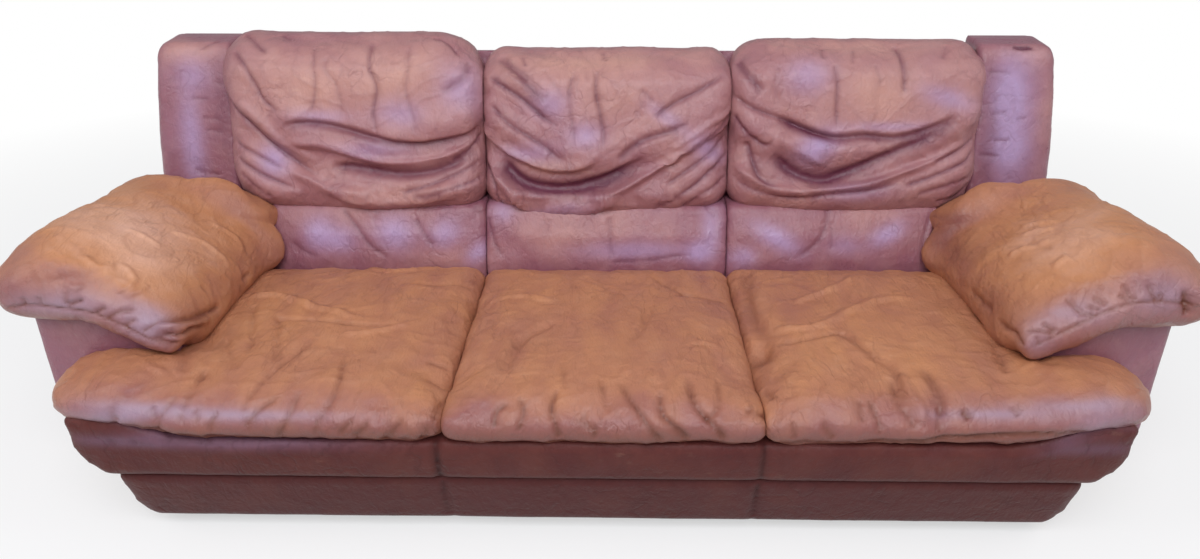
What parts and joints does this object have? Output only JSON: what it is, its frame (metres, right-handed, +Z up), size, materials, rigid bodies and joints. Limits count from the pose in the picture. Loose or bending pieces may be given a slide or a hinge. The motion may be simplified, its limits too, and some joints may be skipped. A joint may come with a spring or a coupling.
{
  "type": "worn leather sofa",
  "caption": "Low sofa with loose seat cushions, draped back cushions, side wings and overhanging pillow arm pads on a timber base with a recessed kick panel.",
  "frame": {"origin": "on the floor under the middle of the sofa's overall box", "axes": "+Z up, +X along the width toward the right arm as seen from the front, -Y toward the person who sits down"},
  "size_m": [2.316, 0.9441, 0.8553],
  "materials": {
    "tan_leather": "worn matt tan where the dye has rubbed off, wine-brown at the edges",
    "mauve_leather": "soft sheen, creased",
    "dark_leather": "soft sheen, least worn",
    "pine": "sawn softwood",
    "webbing": "woven elastic webbing",
    "dust_cloth": "thin black non-woven cloth",
    "nylon": "moulded"
  },
  "bodies": {
    "root": {"arm_bottom_board_left": "pine", "arm_bottom_board_right": "pine", "arm_front_panel_left": "mauve_leather", "arm_front_panel_right": "mauve_leather", "arm_front_post_left": "pine", "arm_front_post_right": "pine", "arm_inner_panel_left": "mauve_leather", "arm_inner_panel_right": "mauve_leather", "arm_outer_panel_left": "mauve_leather", "arm_outer_panel_right": "mauve_leather", "arm_pad_left": "tan_leather", "arm_pad_right": "tan_leather", "arm_top_board_left": "pine", "arm_top_board_right": "pine", "back_cushion_centre": "mauve_leather", "back_cushion_left": "mauve_leather", "back_cushion_right": "mauve_leather", "back_middle_post_left": "pine", "back_middle_post_right": "pine", "back_post_left": "pine", "back_post_right": "pine", "back_top_rail": "pine", "back_top_roll": "dark_leather", "back_webbing_centre": "webbing", "back_webbing_left": "webbing", "back_webbing_right": "webbing", "back_wing_left": "mauve_leather", "back_wing_right": "mauve_leather", "cross_board_left": "pine", "cross_board_right": "pine", "dust_cloth": "dust_cloth", "front_board": "pine", "front_rail_pad": "dark_leather", "glide_front_centre": "nylon", "glide_front_left": "nylon", "glide_front_right": "nylon", "glide_rear_centre": "nylon", "glide_rear_left": "nylon", "glide_rear_right": "nylon", "kick_panel_front": "dark_leather", "kick_panel_left": "dark_leather", "kick_panel_rear": "dark_leather", "kick_panel_right": "dark_leather", "lumbar_pad_centre": "mauve_leather", "lumbar_pad_left": "mauve_leather", "lumbar_pad_right": "mauve_leather", "outer_back_panel": "dark_leather", "rear_board": "pine", "seat_cleat": "pine", "seat_cushion_centre": "tan_leather", "seat_cushion_left": "tan_leather", "seat_cushion_right": "tan_leather", "seat_webbing_centre": "webbing", "seat_webbing_left": "webbing", "seat_webbing_right": "webbing", "side_board_left": "pine", "side_board_right": "pine", "wing_board_left": "pine", "wing_board_right": "pine"}
  },
  "joints": []
}
